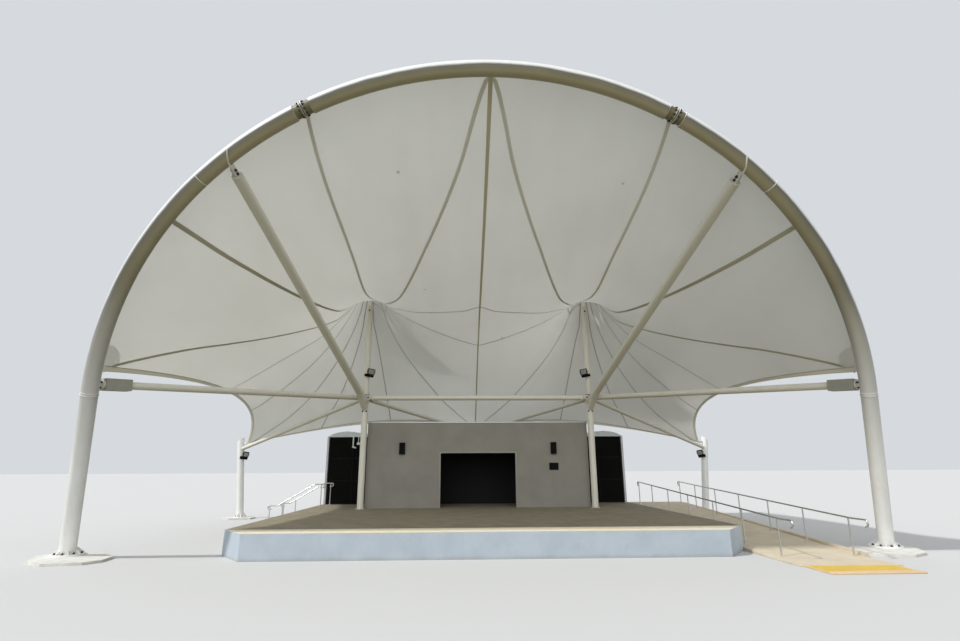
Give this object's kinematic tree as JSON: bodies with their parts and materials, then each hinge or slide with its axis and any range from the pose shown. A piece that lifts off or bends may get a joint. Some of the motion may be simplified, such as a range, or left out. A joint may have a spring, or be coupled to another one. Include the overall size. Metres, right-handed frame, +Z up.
{
  "type": "bandstand",
  "caption": "Open-air stage under a fabric canopy stretched from a leaning steel arch to two masts, with a backstage room, steps and a ramp",
  "frame": {"origin": "Ground level on the centre plane, under the line of the two masts; the underside of the stage lies in this plane", "axes": "+X to the right seen from the audience, +Y away from the audience towards the backstage room, +Z up"},
  "size_m": [22.684, 17.7645, 11.4141],
  "materials": {
    "concrete": "painted rough",
    "render": "rendered",
    "steel": "satin",
    "galv": "brushed",
    "fabric": "matte",
    "black": "matte",
    "curtain": "matte",
    "pad": "rough",
    "awning": "satin",
    "paving": "rough",
    "tactile": "matte",
    "roof": "rough"
  },
  "bodies": {
    "root": {"stage": "concrete", "room_front_left": "render", "room_front_right": "render", "room_lintel": "render", "room_side_walls": "render", "room_rear_wall": "render", "room_roof": "roof", "room_backdrop": "curtain", "wing_screens": "curtain", "wing_posts": "galv", "wing_awnings": "awning", "wall_lights": "black", "wall_plaque": "black", "arch_crown": "steel", "arch_left": "steel", "arch_right": "steel", "arch_splices": "steel", "arch_bases": "steel", "arch_pads": "pad", "mast_left": "steel", "mast_right": "steel", "cone_ring_left": "steel", "cone_ring_right": "steel", "cone_caps": "steel", "cross_beam": "steel", "side_struts": "steel", "raking_struts": "steel", "rear_struts": "steel", "corner_posts": "steel", "rear_post": "steel", "post_pads": "pad", "strut_boxes": "steel", "floodlights": "black", "corner_plates": "galv", "steps": "concrete", "step_rails": "galv", "ramp": "paving", "ramp_rail_near": "galv", "ramp_rail_far": "galv", "tactile_pad": "tactile", "canopy_front_left": "fabric", "canopy_front_right": "fabric", "canopy_side_left": "fabric", "canopy_side_right": "fabric", "canopy_rear_left": "fabric", "canopy_rear_right": "fabric"}
  },
  "joints": []
}
